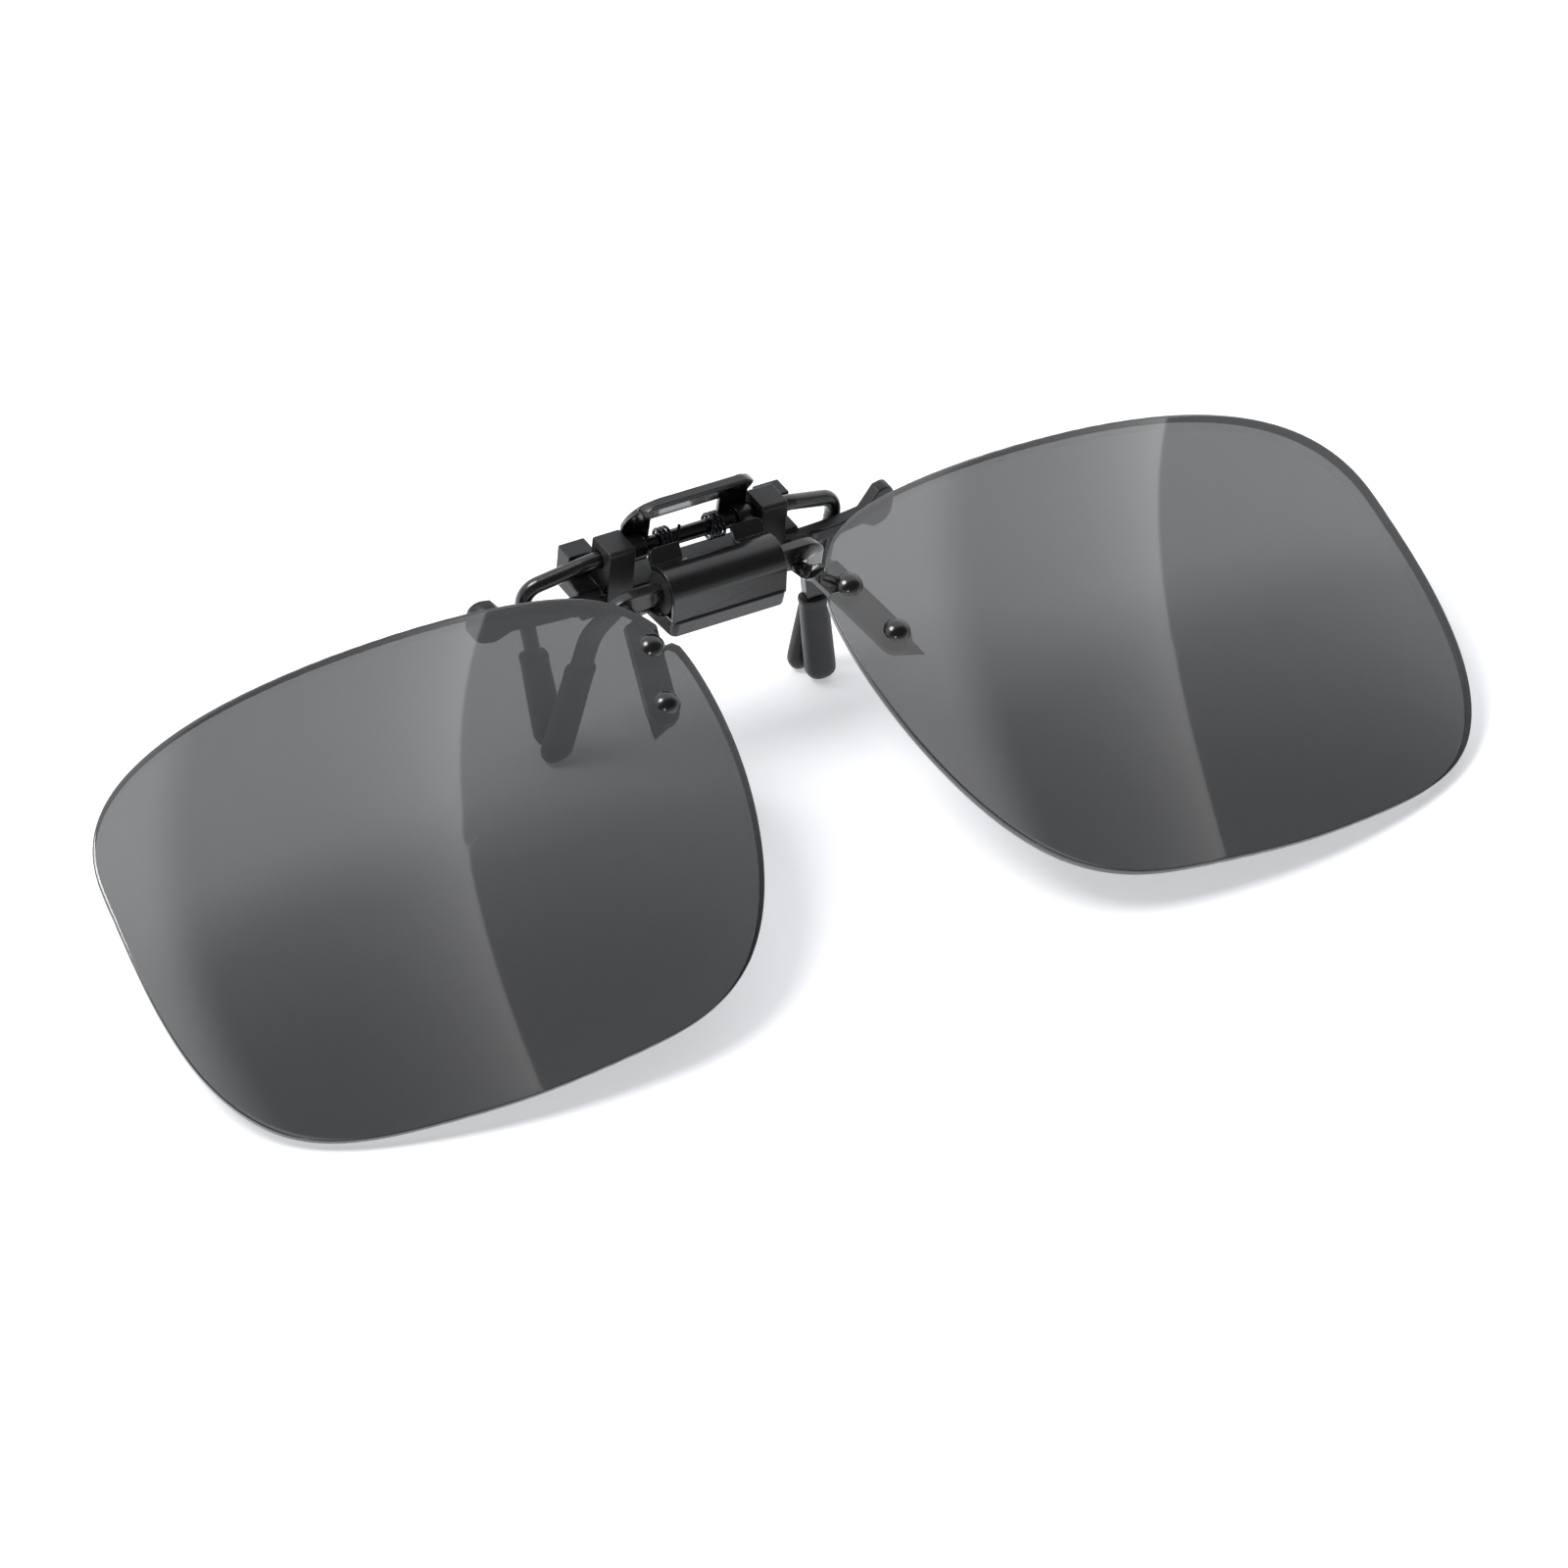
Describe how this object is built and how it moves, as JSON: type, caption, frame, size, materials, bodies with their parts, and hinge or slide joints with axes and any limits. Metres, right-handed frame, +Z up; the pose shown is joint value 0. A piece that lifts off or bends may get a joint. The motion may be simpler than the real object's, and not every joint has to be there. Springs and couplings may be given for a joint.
{
  "type": "flip-up clip-on sunglasses",
  "caption": "Rimless flip-up clip-on sunglasses: tinted lenses on a hinged bar, with a spring jaw of padded legs and a thumb lever that grips the wearer's spectacles.",
  "frame": {"origin": "middle of the bounding box's bottom: the clip stands on its four pads and the low corners of its flipped-up lenses", "axes": "+X to the viewer's right along the hinge pins, -Y to the front, +Z up"},
  "size_m": [0.1336, 0.0479, 0.025],
  "materials": {
    "moulded_black": "moulded black nylon, satin",
    "painted_black": "steel with glossy black paint",
    "vinyl_black": "soft black vinyl sleeve",
    "spring_wire": "blackened spring steel",
    "bush_nylon": "black nylon",
    "washer_nylon": "black nylon washer",
    "rivet_black": "black lacquered rivet",
    "tinted_lens": "grey polarised lens"
  },
  "bodies": {
    "front_jaw": {"jaw_bar": "moulded_black", "front_jaw_frame": "painted_black", "front_pad_left": "vinyl_black", "front_pad_right": "vinyl_black", "detent_cam": "bush_nylon", "torsion_spring_left": "spring_wire", "torsion_spring_right": "spring_wire"},
    "rear_jaw": {"rear_jaw_wire": "painted_black", "lever_plate": "painted_black", "rear_pad_left": "vinyl_black", "rear_pad_right": "vinyl_black"},
    "lens_carrier": {"lens_bar": "painted_black", "flip_hood": "painted_black", "flip_bush_left": "bush_nylon", "flip_bush_right": "bush_nylon", "detent_leaf": "spring_wire", "lens_arm_left": "painted_black", "lens_arm_right": "painted_black", "lens_left": "tinted_lens", "lens_right": "tinted_lens", "lens_rivets": "rivet_black", "rivet_washers": "washer_nylon"}
  },
  "joints": [
    {"name": "lens_flip", "type": "hinge", "parent": "front_jaw", "child": "lens_carrier", "pos_m": [0, 0.01527, 0.018], "axis": [-1, 0, 0], "range_deg": [-67, 23]},
    {"name": "jaw_squeeze", "type": "hinge", "parent": "front_jaw", "child": "rear_jaw", "pos_m": [0, 0.02045, 0.0193], "axis": [1, 0, 0], "range_deg": [0, 25], "stiffness_Nm_per_rad": 0.03, "springref_deg": -57.3, "deforming": ["torsion_spring_left", "torsion_spring_right"]}
  ]
}
